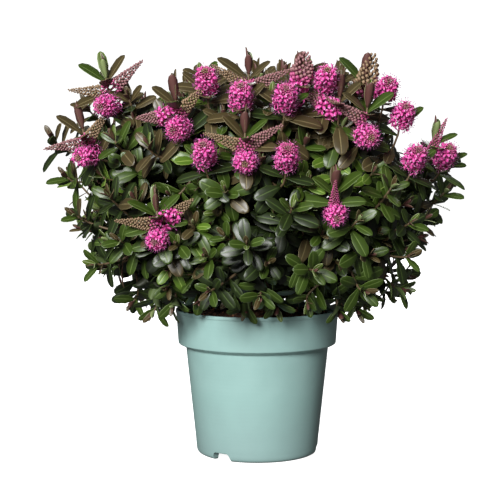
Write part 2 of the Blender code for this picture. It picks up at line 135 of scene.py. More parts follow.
def unit(vectors):
    """The same vectors, scaled to length one."""
    return vectors / np.maximum(norm(vectors)[..., None], 1e-12)


def full_turn(count):
    """Even angles that go once round."""
    return np.linspace(0, 2 * math.pi, count, endpoint=False)


def polar(radius, turn, height):
    """Points (r cos, r sin, z) from radii, angles and heights, which are stretched to one shape."""
    return np.stack(np.broadcast_arrays(radius * np.cos(turn), radius * np.sin(turn), height), -1)


def ripple(points, wavelength, seed):
    """A smooth, even unevenness: the sum of 20 sine waves of about one wavelength in random directions."""
    waves = np.random.default_rng(seed)
    ways = unit(waves.normal(size=(20, 3))) * waves.uniform(0.7, 1.4, (20, 1)) * 2 * math.pi / wavelength
    shifts = waves.uniform(0, 2 * math.pi, 20)
    return np.sin(points @ ways.T + shifts).sum(-1) / math.sqrt(20)


# %% [markdown]
# ## Colours and finishes
#
# Colours are written as sRGB hex values, as one reads them off a screen, and turned to the linear values that
# the shader works in. One small function adds a node with its settings and links, so that each material reads
# as a short list.

# %% Material helpers


def linear(code):
    """An sRGB hex colour as linear red, green, blue and alpha."""
    channels = [int(code[i : i + 2], 16) / 255 for i in (1, 3, 5)]
    return (*[c / 12.92 if c <= 0.04045 else ((c + 0.055) / 1.055) ** 2.4 for c in channels], 1)


def feed(node, inputs):
    """Sets a node's inputs to values, or links them to sockets or to the first outputs of nodes.

    A material stands for its Principled shader.
    """
    if isinstance(node, bpy.types.Material):
        node = node.node_tree.nodes["Principled BSDF"]
    for key, value in inputs.items():
        if isinstance(value, bpy.types.Node):
            value = value.outputs[0]
        if isinstance(value, bpy.types.NodeSocket):
            node.id_data.links.new(value, node.inputs[key])
        else:
            node.inputs[key].default_value = value


def add_node(surface, kind, inputs, stops=(), **settings):
    """Adds a node to a surface, with its inputs and settings and a colour ramp's (position, colour) stops."""
    node = surface.node_tree.nodes.new("ShaderNode" + kind)
    for key, value in settings.items():
        setattr(node, key, value)
    feed(node, inputs)
    for number, (position, code) in enumerate(stops):
        elements = node.color_ramp.elements
        stop = elements[number] if number < 2 else elements.new(position)
        stop.position, stop.color = position, linear(code)
    return node


def new_surface(name, code, roughness, **sockets):
    """A Principled material with its plain values set."""
    surface = bpy.data.materials.new(name)
    surface.use_nodes = True
    plain = {key.replace("_", " "): value for key, value in sockets.items()}
    feed(surface, {"Base Color": linear(code), "Roughness": roughness, **plain})
    return surface


# %% [markdown]
# ## The pot
#
# The real pot is injection-moulded polypropylene: a smooth tapered cup with a collar and a rounded foot. Its
# base stands a little above the ground on a foot ring, and three arched notches in the ring let water and air
# through. One profile, carried round the axis, gives it all but the notches. These are made in the same grid:
# where an angle lies within a notch, no point of the ring is lower than the notch's arch.

# %% Pot shape
POT_HEIGHT, FLOOR, FOOT = 151 * mm, 2.2 * mm, 62.5 * mm
NOTCH_TURNS, NOTCH_HALF, NOTCH_HEIGHT = np.radians([-126, -6, 114]), 11 * mm, 8 * mm


def rounded(corners, steps=5):
    """A line through (r, z, rounding) corners in millimetres. A curve that starts that far away cuts each."""
    corners = np.array(corners) * mm
    line = []
    for index, (r, z, size) in enumerate(corners):
        here = np.array((r, z))
        if size == 0:
            line.append(here[None])
            continue
        before = here + unit(corners[index - 1, :2] - here) * size
        after = here + unit(corners[index + 1, :2] - here) * size
        t = np.linspace(0, 1, steps)[:, None]
        line.append((1 - t) ** 2 * before + 2 * t * (1 - t) * here + t**2 * after)
    return np.concatenate(line)


def densified(line, spacing):
    """The same line with points added so that none are further apart than the spacing."""
    counts = np.maximum((norm(np.diff(line, axis=0)) / spacing).astype(int), 1)
    parts = [np.linspace(a, b, count, endpoint=False) for a, b, count in zip(line, line[1:], counts)]
    return np.concatenate(parts + [line[-1:]])


def notch_height(turns):
    """How high a notch reaches at each angle: flat in its middle, then a quarter ellipse down to its side."""
    away = np.abs((turns[:, None] - NOTCH_TURNS + math.pi) % (2 * math.pi) - math.pi).min(1) * FOOT
    share = np.clip((away / NOTCH_HALF - 0.62) / 0.38, 0, 1)
    return NOTCH_HEIGHT * np.sqrt(1 - share**2)


base, floor = NOTCH_HEIGHT / mm, (NOTCH_HEIGHT + FLOOR) / mm
underside = rounded([(1, base, 0), (54, base, 0)])
foot_ring = densified(rounded([(55, base, 0), (55.6, 0, 0.5), (63.1, 0, 5), (64.2, 13, 0)]), 1 * mm)
cup = rounded([
    (64.2, 13.7, 0), (74.5, 111.5, 1.0), (82.4, 115.4, 1.1), (84.7, 147.0, 0.5), (85.3, 147.9, 0.4),
    (85.3, 151, 1.1), (83.2, 151, 0.7), (80.8, 120.3, 1.5), (72.7, 113.3, 1.0), (62.7, 15, 0),
    (62.2, floor, 3), (50, floor, 0), (1, floor, 0),
])
edges = [turn + side * NOTCH_HALF / FOOT * share for turn in NOTCH_TURNS for side in (-1, 1)
         for share in np.linspace(0.6, 1.2, 18)]
turns = np.concatenate([full_turn(128), edges])
turns = np.unique(np.round(np.mod(turns, 2 * math.pi), 5))
r, z = np.concatenate([underside, foot_ring, cup])[:, :, None].transpose(1, 0, 2)
pot_points = polar(r, turns, np.maximum(z, notch_height(turns)))
print("pot grid", len(r), "by", len(turns))

# %% [markdown]
# Polypropylene straight from the mould has a satin skin: a broad, soft highlight with a faint unevenness
# where the plastic shrank as it cooled, and fine rings left by the turned mould. The colour also grows darker
# and greyer towards the foot: painted shade, where the floor keeps light from it. The highlight is set by the
# roughness, and the skin by weak bumps whose wavelengths are real sizes in millimetres. A real mould's rings
# are under a millimetre apart. Here they are 4 mm apart, so that they show.

# %% Pot finish
plastic = new_surface("moulded_polypropylene", "#92B4AF", 0.42, IOR=1.49)
place = add_node(plastic, "TexCoord", {}).outputs["Object"]
shrinkage = add_node(plastic, "TexNoise", {"Vector": place, "Scale": 1 / (22 * mm), "Detail": 2.0})
skin = add_node(plastic, "TexNoise", {"Vector": place, "Scale": 1 / (1.1 * mm), "Detail": 3.0})
rings = add_node(plastic, "TexWave", {
    "Vector": place, "Scale": 0.314 / (4.2 * mm), "Distortion": 0.4}, bands_direction="Z")  # 4.2 mm apart
height = add_node(plastic, "SeparateXYZ", {"Vector": place}).outputs["Z"]
# Painted shade: towards the foot the colour turns darker and greyer, where the floor keeps light from it.
painted_foot_shade = add_node(plastic, "MapRange", {
    "Value": height, "From Min": 2 * mm, "From Max": 75 * mm, "To Min": 0.0, "To Max": 0.65})
mottle_and_foot_shade = add_node(plastic, "Math", {0: shrinkage, 1: 0.35, 2: painted_foot_shade}, operation="MULTIPLY_ADD")
tone = add_node(plastic, "ValToRGB", {"Fac": mottle_and_foot_shade},
                stops=((0.12, "#86A29F"), (0.75, "#8FB1AC"), (0.95, "#95B7B2")))
gloss = add_node(plastic, "MapRange", {"Value": shrinkage, "To Min": 0.36, "To Max": 0.50})
relief = {}
bumps = (shrinkage, 0.25, 0.4), (rings.outputs["Fac"], 0.4, 0.05), (skin, 0.12, 0.06)
for texture, strength, depth in bumps:
    relief = {"Normal": add_node(plastic, "Bump", {
        "Height": texture, "Strength": strength, "Distance": depth * mm, **relief})}
feed(plastic, {"Base Color": tone, "Roughness": gloss, **relief})

# The profile's first and last points are joined to one point on the axis, below and inside.
poles = np.array([[0, 0, NOTCH_HEIGHT], [0, 0, NOTCH_HEIGHT + FLOOR]])
make_piece("moulded_pot", np.concatenate([pot_points.reshape(-1, 3), poles]),
           closed_faces(len(r), len(turns)), [plastic], "pot_plastic", ["pot"])

# %% [markdown]
# ## The compost
#
# Nursery compost is peat with crumbs, bits of bark and fibres. Its top is a height field on a round grid: a
# gentle heap, plus three sizes of unevenness. Below it, the grid goes down the pot's wall and closes under
# the roots, so that the compost is a whole body and not a lid.

# %% Compost surface
SOIL_TOP, SOIL_RADIUS, SOIL_BASE = 149 * mm, 79.8 * mm, 14 * mm


def soil_height(points):
    """A heap that falls 5 mm from its middle to the wall, with clods, crumbs and grit on it."""
    r = norm(points[..., :2])
    heap = SOIL_TOP - 5 * mm * (r / SOIL_RADIUS) ** 2 - 1.2 * mm
    rough = sum(high * mm * ripple(points, wide * mm, seed)
                for high, wide, seed in ((0.9, 26, 1), (0.5, 8, 2), (0.3, 3, 3)))
    return heap + np.clip(rough, -2.5 * mm, 1.6 * mm)


angle = full_turn(160)
top = polar(np.linspace(0.6 * mm, SOIL_RADIUS, 64)[:, None], angle, 0.0)
top[..., 2] = soil_height(top)
wall = np.array([(79.8, 138), (78.6, 122), (72, 112), (62, 15), (50, 14.5), (48, 14), (1, 14)]) * mm
soil = np.concatenate([top, polar(wall[:, :1], angle, wall[:, 1:])])
poles = np.array([[0, 0, soil_height(np.zeros(3))], [0, 0, SOIL_BASE]])

peat = new_surface("moist_peat", "#3A261A", 0.95)
place = add_node(peat, "TexCoord", {}).outputs["Object"]
crumbs = add_node(peat, "TexVoronoi", {"Vector": place, "Scale": 1 / (3 * mm)})
fibre = add_node(peat, "TexNoise", {"Vector": place, "Scale": 1 / (6 * mm), "Detail": 5.0})
tone = add_node(peat, "ValToRGB", {"Fac": fibre}, stops=((0, "#22160F"), (1, "#6B4631")))
grit = add_node(peat, "Bump", {"Height": crumbs, "Strength": 0.7, "Distance": 1 * mm})
feed(peat, {"Base Color": tone, "Normal": grit})

# The grid starts at the top's middle, so its faces are turned round to point outwards.
make_piece("peat_compost", np.concatenate([soil.reshape(-1, 3), poles]),
           [part[:, ::-1] for part in closed_faces(len(soil), len(angle))], [peat], "compost", ["compost"])

# %% [markdown]
# Crumbs of a few millimetres lie on the compost as low-polygon pebbles, because the light catches real edges
# better than it does a bump. Each is an icosahedron whose corners are pushed in or out, and one in six is
# drawn out and flattened into a chip of bark.

# %% Crumbs and chips on the compost
CRUMBS = 620
GOLDEN = (1 + math.sqrt(5)) / 2
pairs = [(a, b * GOLDEN) for a in (-1, 1) for b in (-1, 1)]
ico = unit(np.array([np.roll((0, a, b), -step) for step in range(3) for a, b in pairs]))
near = norm(ico[:, None] - ico[None]) < 1.1
ico_faces = np.array([(a, b, c) for a in range(12) for b in range(a + 1, 12) for c in range(b + 1, 12)
                      if near[a, b] and near[b, c] and near[a, c]])
corner_a, corner_b, corner_c = ico[ico_faces].transpose(1, 0, 2)
inward = (np.cross(corner_b - corner_a, corner_c - corner_a) * corner_a).sum(-1) < 0
ico_faces[inward] = ico_faces[inward][:, ::-1]

radius = SOIL_RADIUS * 0.97 * np.sqrt(rng.uniform(0.02, 1, CRUMBS))
spot = polar(radius, rng.uniform(0, 2 * math.pi, CRUMBS), 0.0)
spot[:, 2] = soil_height(spot)
size = rng.uniform(0.6, 1.4, (CRUMBS, 1, 3)) * rng.uniform(1.0 * mm, 2.6 * mm, (CRUMBS, 1, 1))
size[: CRUMBS // 6] *= np.array([2.2, 0.8, 0.5])
turn = rng.uniform(0, 2 * math.pi, (CRUMBS, 1))
x, y, z = np.moveaxis(ico[None] * size * rng.uniform(0.8, 1.2, (CRUMBS, 12, 1)), -1, 0)
pebbles = np.stack([x * np.cos(turn) - y * np.sin(turn), x * np.sin(turn) + y * np.cos(turn), z], -1)
colours = [new_surface(f"peat_crumb_{name}", code, 0.9)
           for name, code in (("dark", "#2A1B12"), ("brown", "#553725"), ("bark", "#8A5C40"))]
make_piece("compost_crumbs", pebbles + spot[:, None], [repeated(ico_faces, CRUMBS, 12)], colours,
           "compost", ["compost"], smooth=False,
           materials=np.repeat(rng.choice(3, CRUMBS, p=(0.5, 0.38, 0.12)), len(ico_faces)))

# %% [markdown]
# ## Stem and boughs
#
# The limbs follow the same rule as the measured solids: a short stem with a root flare, and one bough for
# each mass of foliage, which leaves beside the stem and bends up. A limb is a ring of points carried along a
# path. Old hebe wood is grey-brown and peels in thin lengthwise strips, so ridges that run along the limb are
# pressed into its mesh, where a grazing light finds them.

# %% The limbs' rule
STEM_HEIGHT, STEM_FOOT, LIMB_RINGS = 46 * mm, SOIL_TOP + 0.3 * mm, 40
# Rings of masses: number, radius, height, first angle in degrees, share of the stem's height where they fork
MASS_RINGS = ((1, 0.0, 0.345, 0, 1.0), (6, 0.115, 0.332, 20, 0.60), (8, 0.142, 0.225, 0, 0.16))


def stem_axis(height):
    """The stem leans 3 mm over its height, in a slight curve."""
    share = height / STEM_HEIGHT
    return np.array([3 * mm * math.sin(2.2 * share), 3 * mm * share, STEM_FOOT + height])


def stem_radius(height):
    """12.5 mm at the root flare, which dies away in about 6 mm, then an even taper from 8.5 to 5.5 mm."""
    return 8.5 * mm - 3 * mm * height / STEM_HEIGHT + 4 * mm * np.exp(-height / (6 * mm))


def bezier(start, start_pull, end_pull, end, count):
    """Points on the cubic curve that leaves start along one pull and arrives at end along the other."""
    t = np.linspace(0, 1, count)[:, None]
    s = 1 - t
    return s**3 * start + 3 * s * s * t * (start + start_pull) + 3 * s * t * t * (end - end_pull) + t**3 * end


def tubes(paths, radii, sides, ridges=0.0):
    """Rings of points round many paths (n, rings, 3), and a point at each end; ridges is their height."""
    along = unit(np.gradient(paths, axis=1))
    chord = unit(paths[:, -1] - paths[:, 0])
    flat = np.where(np.abs(chord[:, 2:]) > 0.8, [[1.0, 0, 0]], [[0, 0, 1.0]])
    side = unit(np.cross(chord, flat))[:, None]
    side = unit(side - (side * along).sum(-1, keepdims=True) * along)
    front = np.cross(along, side)
    turn = full_turn(sides)[None, None, :, None]
    ring = side[:, :, None] * np.cos(turn) + front[:, :, None] * np.sin(turn)
    width = radii[:, :, None, None]
    if ridges:
        steps = norm(np.diff(paths, axis=1, prepend=paths[:, :1]))
        length = np.cumsum(steps, 1)[:, :, None, None]
        strip = np.concatenate(np.broadcast_arrays(3 * np.cos(turn), 3 * np.sin(turn), length / (9 * mm)), -1)
        strip = strip + np.arange(len(paths))[:, None, None, None] * 5.0
        width = width + ridges * ripple(strip, 2.6, 8)[..., None] * np.minimum(width / (3 * mm), 1)
    points = (paths[:, :, None] + ring * width).reshape(len(paths), -1, 3)
    return np.concatenate([points, paths[:, :1], paths[:, -1:]], 1), closed_faces(paths.shape[1], sides)


centres, limb_paths, limb_radii = [], [], []
for count, radius, height, first, fork_share in MASS_RINGS:
    for number in range(count):
        turn = math.radians(first) + 2 * math.pi * number / count
        centre = np.array((radius * math.cos(turn), radius * math.sin(turn), height))
        fork = STEM_HEIGHT * (fork_share + 0.22 * (number % 2))
        if fork >= STEM_HEIGHT:
            start, away, thick = stem_axis(STEM_HEIGHT) - (0, 0, 2 * mm), np.array([0, 0, 1.0]), 4.4 * mm
        else:
            away = unit(centre * (1, 1, 0))
            start = stem_axis(fork) + away * (stem_radius(fork) - 2 * mm)
            away, thick = unit(away + (0, 0, 0.35)), 3.0 * mm
        end = start + (centre - start) * 0.56
        length = norm(end - start)
        arrive = unit(unit(centre - start) + (0, 0, 0.35))
        centres.append(centre)
        limb_paths.append(bezier(start, away * length * 0.38, arrive * length * 0.3, end, LIMB_RINGS))
        limb_radii.append(np.linspace(thick, 2.4 * mm, LIMB_RINGS))
centres = np.array(centres)
hubs = np.array([path[-1] for path in limb_paths])
onwards = np.array([unit(path[-1] - path[-2]) for path in limb_paths])
heights = np.linspace(0, STEM_HEIGHT, LIMB_RINGS)
limb_paths.append(np.array([stem_axis(height) for height in heights]))
limb_radii.append(stem_radius(heights))

bark = new_surface("peeling_bark", "#5E4636", 0.85)
place = add_node(bark, "TexCoord", {}).outputs["Object"]
stretched = add_node(bark, "Mapping", {"Vector": place, "Scale": (1.0, 1.0, 0.25)})
flakes = add_node(bark, "TexNoise", {"Vector": stretched, "Scale": 1 / (3 * mm), "Detail": 6.0})
tone = add_node(bark, "ValToRGB", {"Fac": flakes}, stops=((0.35, "#35241A"), (0.68, "#866B55")))
fissure = add_node(bark, "Bump", {"Height": flakes, "Strength": 0.6, "Distance": 0.5 * mm})
feed(bark, {"Base Color": tone, "Normal": fissure})
many_of("stem_and_boughs", *tubes(np.array(limb_paths), np.array(limb_radii), 16, 0.35 * mm), [bark],
        slot="bark", nodes=limb_nodes)

# %% [markdown]
# ## Where the shoots end
#
# The crown is a rounded box: |r / R| to the power n plus |z / H| to the power n is 1. The shoots that can be
# told apart in the photograph are placed one by one. A golden-angle spiral spreads the other main shoots
# evenly over the crown, a second, denser one adds finer shoots a little deeper, and rings of short ones fill
# its hem and its middle. Two lists keep the outline: a skyline that these others stay below, and circles
# where the photograph shows sky between the leaves.

# %% The crown's rule
CROWN_RADIUS, CROWN_MIDDLE, CROWN_RISE, CROWN_DROP, SQUARENESS = 0.208, 0.262, 0.161, 0.114, 2.8
MAIN_SHOOTS, FINE_SHOOTS, INNER_SHOOTS, HEM_SHOOTS, LOW_SHOOTS = 124, 760, 80, 26, 30
CLEAR_OF_LEADING, CLEAR_OF_OTHERS = 46 * mm, 24 * mm
LAST_LEAVES, LAST_FLOWERING = 14 * mm, 26 * mm
EYE = np.array([-7.5, -1400, 311.5]) * mm  # the camera's place

# The last leaves of each shoot that the photograph shows well: (side, height, letters), in millimetres in the
# plane of the pot's axis. The letters are its spikes: l, i and r lean to a side in bud, L and R are partly
# open, F is an open ball below the leaves and f one at the tip, and U, V and N stand upright. The letter g
# says that its young leaves are still green.
LEADING_SHOOTS = (
    (-159, 419, "lrFg"), (-184, 366, "lrF"), (-86, 397, "LrF"), (-53, 410, "f"), (-9, 424, "ir"),
    (-17, 396, "f"), (29, 394, "f"), (-13, 364, "lrF"), (31, 333, "f"), (-55, 337, "f"), (42, 420, "V"),
    (71, 413, "f"), (113, 418, "U"), (89, 401, ""), (134, 402, "f"), (151, 375, "f"), (116, 390, "lF"),
    (87, 400, "LR"), (186, 354, "Ng"), (164, 331, "f"), (196, 333, "f"), (83, 304, "NF"), (-108, 281, "lRFg"),
    (-136, 380, ""), (-58, 402, ""), (15, 380, ""), (-181, 374, ""), (-216, 338, ""), (-204, 297, ""),
    (-196, 254, ""), (-150, 226, ""), (-176, 199, ""), (-140, 150, ""), (-116, 140, ""), (207, 312, ""),
    (202, 280, ""), (166, 246, ""), (165, 208, ""), (160, 172, ""), (148, 158, ""), (112, 140, ""),
    (92, 138, ""), (-93, 147, ""),
)

# The crown's outline between the leading shoots: (side, height), against the same plane
SKYLINE = np.array([
    (-230, 300), (-175, 332), (-150, 350), (-126, 368), (-100, 370), (-85, 383), (-35, 396), (0, 397),
    (60, 398), (110, 394), (122, 376), (134, 344), (142, 304), (168, 304), (178, 316), (220, 312),
]) * mm

# Places where the photograph shows sky between leaves: (side, height, radius)
SKY = np.array([
    (150, 345, 10), (150, 324, 11), (155, 331, 8), (148, 199, 6), (196, 226, 7), (-205, 326, 5),
    (-193, 272, 5), (-185, 272, 5), (-199, 219, 10), (-205, 228, 6), (-128, 181, 5), (-137, 177, 5),
    (210, 241, 9), (204, 224, 8), (147, 391, 7), (138, 397, 8), (124, 400, 5), (155, 381, 7), (162, 368, 6),
]) * mm


def nearness(points):
    """How far each point is from the camera, as a share of the pot's distance."""
    return ((points[:, 1] - EYE[1]) / -EYE[1])[:, None]


def in_the_sky(points, margin=0.0):
    """True for points that the camera sees within one of the places of sky."""
    seen = EYE + (points - EYE) / nearness(points)
    return (np.hypot(seen[:, :1] - SKY[:, 0], seen[:, 2:] - SKY[:, 1]) < SKY[:, 2] + margin).any(1)


def under_the_skyline(points):
    """The same points, with those that stand above the skyline lowered to it, as the camera sees them."""
    near = nearness(points)
    side = EYE[0] + (points[:, :1] - EYE[0]) / near
    limit = EYE[2] + (np.interp(side, SKYLINE[:, 0], SKYLINE[:, 1]) - EYE[2]) * near
    return np.hstack([points[:, :2], np.minimum(points[:, 2:], limit)])


def crown_rise(height):
    """How far the crown reaches up from its middle, or down."""
    return np.where(height > 0, CROWN_RISE, CROWN_DROP)


def crown_points(count):
    """Where rays from the crown's middle leave it, in even directions given by the golden angle."""
    number = np.arange(count)
    z = 1 - 2 * (number + 0.5) / count
    ways = polar(np.sqrt(1 - z * z), number * GOLDEN_ANGLE, z)
    flat = norm(ways[:, :2]) / CROWN_RADIUS
    total = flat**SQUARENESS + np.abs(ways[:, 2] / crown_rise(ways[:, 2])) ** SQUARENESS
    return ways * total[:, None] ** (-1 / SQUARENESS) + (0, 0, CROWN_MIDDLE)


def crown_reach(height):
    """The crown's radius at a height."""
    left_over = 1 - np.abs((height - CROWN_MIDDLE) / crown_rise(height - CROWN_MIDDLE)) ** SQUARENESS
    return CROWN_RADIUS * np.maximum(left_over, 0) ** (1 / SQUARENESS)


def fits_the_crown(tips):
    """False for tips in or on the pot, and for those under the middle of the crown."""
    r = norm(tips[:, :2])
    on_pot = (tips[:, 2] < POT_HEIGHT + 6 * mm) & (r < 109 * mm)
    under = (r < CROWN_RADIUS * 0.5) & (tips[:, 2] < CROWN_MIDDLE)
    return ~on_pot & ~under


def headings(tips):
    """Shoots turn up towards the light: steeply at the top of the crown, outwards and forwards lower down."""
    outward = unit(np.stack([tips[:, 0], tips[:, 1], 0.4 * (tips[:, 2] - CROWN_MIDDLE)], -1))
    share = np.clip((tips[:, 2:] - 0.20) / 0.14, 0, 1)
    upward = np.array([0, 0, 1.0]) * (0.18 + 0.82 * share)
    return unit(outward * (1.0 - 0.62 * share) + upward + (0, -0.25, 0))


def on_the_front(seen, drops):
    """Moves points of the axis plane along the camera's rays, to near the crown's front below them."""
    places = seen.copy()
    for _ in range(6):
        level = np.maximum(places[:, 2] - drops, CROWN_MIDDLE - 0.85 * CROWN_DROP)
        out = np.sqrt(np.maximum(crown_reach(level) ** 2 - places[:, 0] ** 2, 0))
        share = (EYE[1] + 0.93 * out) / EYE[1]
        places = EYE + (seen - EYE) * share[:, None]
    return places


# %% [markdown]
# The lists are now turned into the places of the shoots' tips. A shoot with a ball of flowers stands where
# its ball would rest on the crown, and each finer shoot is kept only where it has room among those before it.

# %% Tips of the shoots
sides, levels, leading_letters = zip(*LEADING_SHOOTS)
seen = np.stack([sides, np.zeros(len(sides)), levels], -1) * mm
drops = np.array([52 if "F" in letters else 26 if letters else 0 for letters in leading_letters])
leading = on_the_front(seen, drops * mm)

main_tips = crown_points(MAIN_SHOOTS) + np.random.default_rng(17).uniform(-1, 1, (MAIN_SHOOTS, 3)) * 8 * mm
clear = norm(main_tips[:, None] - leading[None]).min(1) > CLEAR_OF_LEADING
main_tips = main_tips[fits_the_crown(main_tips) & clear & ~in_the_sky(main_tips, 6 * mm)]

middle = (0, 0, CROWN_MIDDLE)
fine_tips = crown_points(FINE_SHOOTS) + rng.uniform(-5, 5, (FINE_SHOOTS, 3)) * mm - middle
fine_tips = fine_tips * rng.uniform(0.80, 0.94, (FINE_SHOOTS, 1)) + middle
wanted = rng.random(FINE_SHOOTS) < np.clip((fine_tips[:, 2] - 0.16) / 0.09, 0.3, 1)
fine_tips = fine_tips[fits_the_crown(fine_tips) & wanted & ~in_the_sky(fine_tips, 4 * mm)]

number = np.arange(INNER_SHOOTS)
radius = (50 + 54 * np.sqrt(rng.random(INNER_SHOOTS))) * mm
inner_tips = polar(radius, number * GOLDEN_ANGLE, (164 + 128 * (number + 0.5) / INNER_SHOOTS) * mm)
turn = (np.arange(HEM_SHOOTS) + rng.uniform(-0.3, 0.3, HEM_SHOOTS)) * 2 * math.pi / HEM_SHOOTS
hem_tips = polar(rng.uniform(112, 132, HEM_SHOOTS) * mm, turn, rng.uniform(146, 166, HEM_SHOOTS) * mm)
number = np.arange(LOW_SHOOTS)
low_tips = polar(np.where(number % 2, 84, 62) * mm, (number + 0.5) * 2 * math.pi / LOW_SHOOTS, 172 * mm)

tips = np.concatenate([leading, main_tips])
leaders, main_count = len(leading), len(tips)
for tip in np.concatenate([hem_tips, fine_tips, inner_tips, low_tips]):
    if norm(tips - tip).min() > CLEAR_OF_OTHERS:
        tips = np.vstack([tips, tip])
tips[leaders:] = under_the_skyline(tips[leaders:])
shoot_count = len(tips)

# Leading shoots in flower stand upright, the others lean out to show their leaves, and the lowest hang.
upright = (np.array(leading_letters) != "")[:, None]
heading = headings(tips) + np.where(tips[:, 2:] < 0.168, (0, 0, -0.5), (0, 0, 0))
lean_out = np.where(tips[:leaders, 2:] < 0.168, (0, -0.3, 0), (0, -0.75, 0.25))
heading[:leaders] = unit(heading[:leaders] + np.where(upright, (0, 0, 2.2), lean_out))
last_leaves = np.full((shoot_count, 1), LAST_LEAVES)
last_leaves[:leaders][upright] = LAST_FLOWERING
ends = tips - heading * last_leaves
print(leaders, "leading shoots,", main_count, "main shoots,", shoot_count, "in all")

# %% [markdown]
# ## Twigs
#
# Each shoot belongs to the mass whose middle is nearest. The shoot that best carries on the bough leads its
# mass, the other main shoots branch from it in turn, and every finer shoot branches from the main shoot
# nearest to it. The paths are the same cubic curves as the limbs. Young shoots are green flushed with purple.

# %% Twig paths
TWIG_RINGS = 13
mass_of = norm(tips[:, None] - centres[None]).argmin(1)
paths = np.zeros((shoot_count, TWIG_RINGS, 3))
thickness = np.zeros((shoot_count, TWIG_RINGS))


def branch(number, root, direction, thick):
    """Lays a shoot from a root on another limb to its own end, leaving along a mix of both directions."""
    span = norm(ends[number] - root)
    pull = unit(direction + 1.5 * unit(ends[number] - root))
    last_pull = 60 * mm if number < leaders and upright[number] else span * 0.3
    paths[number] = bezier(root, pull * span * 0.3, heading[number] * last_pull, ends[number], TWIG_RINGS)
    thickness[number] = np.linspace(thick, 1.0 * mm, TWIG_RINGS)


for mass, (hub, onward) in enumerate(zip(hubs, onwards)):
    members = [n for n in range(main_count) if mass_of[n] == mass]
    members.sort(key=lambda n: -unit(ends[n] - hub) @ onward)
    leader = paths[members[0]]
    branch(members[0], hub - onward * 2 * mm, onward, 2.2 * mm)
    for order, number in enumerate(members[1:], 1):
        spot = (0.10 + 0.40 * order / len(members)) * (TWIG_RINGS - 1)
        low = int(spot)
        step = leader[low + 1] - leader[low]
        branch(number, leader[low] + step * (spot - low), unit(step), 1.8 * mm)
for number in range(main_count, shoot_count):
    host = paths[norm(paths[:main_count, 8] - ends[number]).argmin()]
    branch(number, host[4], unit(host[5] - host[4]), 1.4 * mm)

many_of("twigs", *tubes(paths, thickness, 5), [new_surface("young_shoot_bark", "#5B4A33", 0.6)])

# %% [markdown]
# ## Where leaves and spikes grow
#
# Leaves sit in opposite pairs, and each pair is square to the last, so a shoot seen from its end shows a
# cross. The nodes are crowded at the tip and further apart below. For each node the code needs a place on the
# twig, the twig's direction there, and two directions square to it: the front, which looks out of the crown,
# and the side. Shoots that the photograph doesn't show, at the top and the back, are given spikes at random.

# %% Nodes on the shoots
facing = unit(tips * (1, 1, 0) + (0, -0.02, 0))
facing[:leaders] = (0, -1, 0)
twist = rng.uniform(-0.45, 0.45, shoot_count)
twist[:leaders] *= 0.3
spikes_wanted = list(leading_letters)
for number in range(leaders, shoot_count):
    letters = ""
    flowering = 0.62 if number < main_count else 0.12
    aside, behind, height = abs(tips[number, 0]), tips[number, 1], tips[number, 2]
    hidden = behind > 0.11 or (behind > 0.02 and aside < 0.14) or (behind > -0.055 and aside < 0.11)
    if height > 0.285 and hidden and rng.random() < flowering:
        letters = "".join(rng.choice(list(pair)) for pair, chance in (("lL", 0.7), ("rR", 0.7), ("FF", 0.85))
                          if rng.random() < chance)
    spikes_wanted.append(letters)


def nodes_along(number, distances):
    """Places and directions on a shoot, at distances back from its end, and which lie on it."""
    path = paths[number][::-1]
    length = np.concatenate([[0], np.cumsum(norm(np.diff(path, axis=0)))])
    place, ahead = (np.stack([np.interp(back, length, path[:, axis]) for axis in range(3)], -1)
                    for back in (distances, distances + 2 * mm))
    return place, unit(place - ahead), distances < length[-1]


def square_to(direction, number, quarter):
    """The direction out of the twig, a number of quarter turns round from the front."""
    side = unit(np.cross(direction, facing[number]))
    front = np.cross(side, direction)
    turn = (twist[number] + np.asarray(quarter) * math.pi / 2)[..., None]
    return front * np.cos(turn) + side * np.sin(turn)


# %% [markdown]
# ## Flower spikes
#
# A spike is a stalk with flowers set in a golden-angle spiral. They open from the bottom up: open flowers
# make a fluffy pink ball about 28 mm across, and above it the buds taper to a mauve or olive cone. Every
# small part here is the same simple body, a spindle: a few rings of an elliptic section between two points.
# Flattened, it is a petal; round, it is a bud, a flower's tube or a stamen. With so few faces, there can be
# thousands.

# %% Spindles


def spindles(start, along, across, length, width, depth, stations, sides):
    """Closed pointed bodies from start along a direction: their points, and the faces of one.

    At each station (share of the length, share of the width) there is an elliptic ring, with half axes width
    and depth, and a point closes each end.
    """
    length, width, depth = (np.broadcast_to(size, len(start))[:, None] for size in (length, width, depth))
    normal = np.cross(along, across)
    turn = full_turn(sides)
    share = np.array(stations)
    reach = along[:, None, None] * (length * share[:, 0])[..., None, None]
    wide = across[:, None, None] * (width[..., None] * share[:, 1, None] * np.cos(turn))[..., None]
    deep = normal[:, None, None] * (depth[..., None] * share[:, 1, None] * np.sin(turn))[..., None]
    rings = (start[:, None, None] + reach + wide + deep).reshape(len(start), -1, 3)
    points = np.concatenate([rings, start[:, None], (start + along * length)[:, None]], 1)
    return points, closed_faces(len(stations), sides)


# %% [markdown]
# Each letter of a shoot is one spike. A leading shoot's balls are aimed at the places where the photograph
# shows them, and the other spikes lean out at their own angle. Where two would stand in each other, the ball
# or the leading shoot's spike stays, and a spike that would leave the measured box is dropped.

# %% Where the spikes stand
# Each kind: millimetres back from the shoot's end, quarter turns from its front, lean in degrees, share open,
# length in millimetres, stoutness
SPIKE_KINDS = {
    "l": (14, 3, 70, 0, 43, 1), "i": (14, 3, 58, 0, 43, 1), "r": (14, 1, 58, 0.06, 43, 1),
    "L": (15, 3, 68, 0.42, 42, 1), "R": (15, 1, 62, 0.42, 42, 1), "F": (27, 0, 84, 0.77, 35, 1),
    "f": (2, 0, 72, 0.77, 35, 1), "U": (22, 0, 5, 0.1, 48, 1.6), "V": (24, 0, 8, 0.5, 52, 1.35),
    "N": (18, 0, 6, 0.1, 42, 0.75),
}
